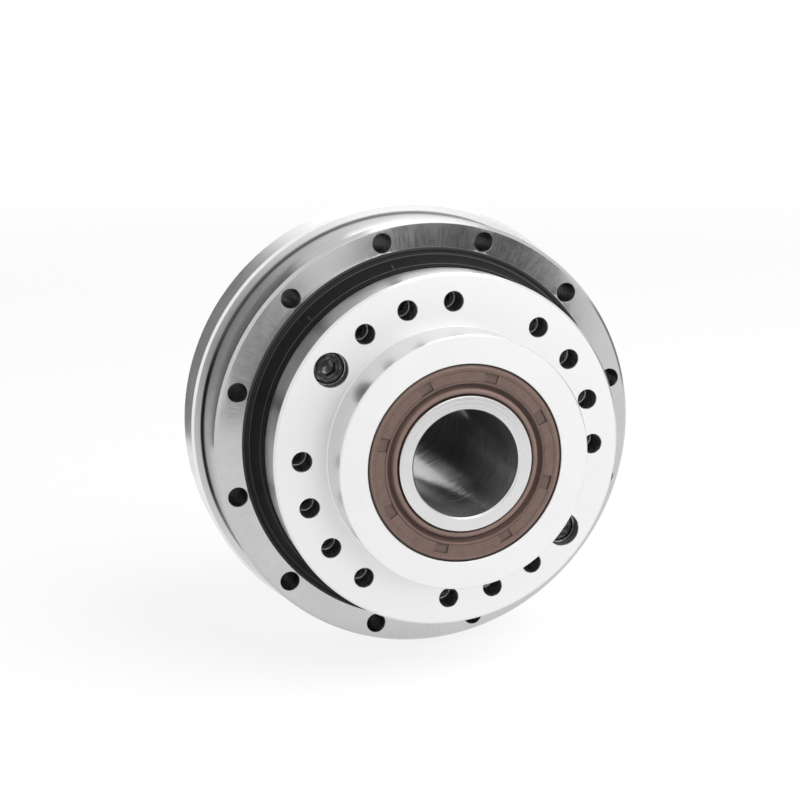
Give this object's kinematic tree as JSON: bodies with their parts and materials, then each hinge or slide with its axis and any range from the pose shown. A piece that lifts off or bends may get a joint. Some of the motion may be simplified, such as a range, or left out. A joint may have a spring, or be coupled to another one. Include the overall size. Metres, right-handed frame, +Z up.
{
  "type": "strain wave gearbox",
  "caption": "Round strain wave gearbox with a hollow input shaft, a flanged output on a crossed roller bearing, lip seals and screw circles on both sides.",
  "frame": {"origin": "on the gearbox's axis, in the plane of the main ring's front face", "axes": "-Y along the axis towards the output side, +Z up and +X to the right when looking at the output side"},
  "size_m": [0.084, 0.0565, 0.084],
  "materials": {
    "ring_steel": "satin",
    "flange_steel": "satin",
    "cover_aluminium": "satin",
    "gear_steel": "ground",
    "shaft_steel": "ground",
    "bearing_steel": "polished",
    "shield_steel": "satin",
    "spring_steel": "satin",
    "screw_steel": "black oxide",
    "cage_polymer": "matte",
    "black_rubber": "matte",
    "brown_rubber": "matte"
  },
  "bodies": {
    "housing": {"bearing_outer_ring": "ring_steel", "main_seal": "black_rubber", "flexspline": "gear_steel", "rear_flange": "flange_steel", "rear_bearing_outer_ring": "bearing_steel", "rear_bearing_shields": "shield_steel", "rear_oil_seal": "brown_rubber", "rear_seal_spring": "spring_steel", "rear_flange_screws": "screw_steel", "housing_o_ring": "black_rubber", "brim_o_ring": "black_rubber"},
    "output": {"output_flange": "cover_aluminium", "circular_spline": "gear_steel", "bearing_inner_ring_front": "bearing_steel", "bearing_inner_ring_rear": "bearing_steel", "inner_ring_screws": "screw_steel", "front_bearing_outer_ring": "bearing_steel", "front_bearing_shields": "shield_steel", "front_oil_seal": "brown_rubber", "front_seal_spring": "spring_steel", "output_cap_screws": "screw_steel", "output_o_ring": "black_rubber"},
    "input": {"hollow_shaft": "shaft_steel", "wave_bearing_inner_race": "bearing_steel", "wave_bearing_balls": "bearing_steel", "wave_bearing_cage": "cage_polymer", "wave_bearing_outer_race": "bearing_steel", "wave_bearing_retainer": "shield_steel", "front_bearing_inner_ring": "bearing_steel", "rear_bearing_inner_ring": "bearing_steel"},
    "roller_set": {"crossed_rollers": "bearing_steel", "roller_spacers": "cage_polymer"},
    "front_ball_set": {"front_bearing_balls": "bearing_steel", "front_bearing_cage": "cage_polymer"},
    "rear_ball_set": {"rear_bearing_balls": "bearing_steel", "rear_bearing_cage": "cage_polymer"}
  },
  "joints": [
    {"name": "input_spin", "type": "hinge", "parent": "housing", "child": "input", "pos_m": [0, 0, 0], "axis": [0, -1, 0], "continuous": true, "deforming": ["flexspline"]},
    {"name": "output_spin", "type": "hinge", "parent": "housing", "child": "output", "pos_m": [0, 0, 0], "axis": [0, -1, 0], "continuous": true},
    {"name": "roller_orbit", "type": "hinge", "parent": "housing", "child": "roller_set", "pos_m": [0, 0, 0], "axis": [0, -1, 0], "continuous": true},
    {"name": "front_ball_orbit", "type": "hinge", "parent": "housing", "child": "front_ball_set", "pos_m": [0, 0, 0], "axis": [0, -1, 0], "continuous": true},
    {"name": "rear_ball_orbit", "type": "hinge", "parent": "housing", "child": "rear_ball_set", "pos_m": [0, 0, 0], "axis": [0, -1, 0], "continuous": true}
  ],
  "couplings": [
    {"joint": "output_spin", "follows": "input_spin", "ratio": 0.012346},
    {"joint": "roller_orbit", "follows": "input_spin", "ratio": 0.005967},
    {"joint": "front_ball_orbit", "follows": "input_spin", "ratio": 0.45042},
    {"joint": "rear_ball_orbit", "follows": "input_spin", "ratio": 0.45139}
  ]
}
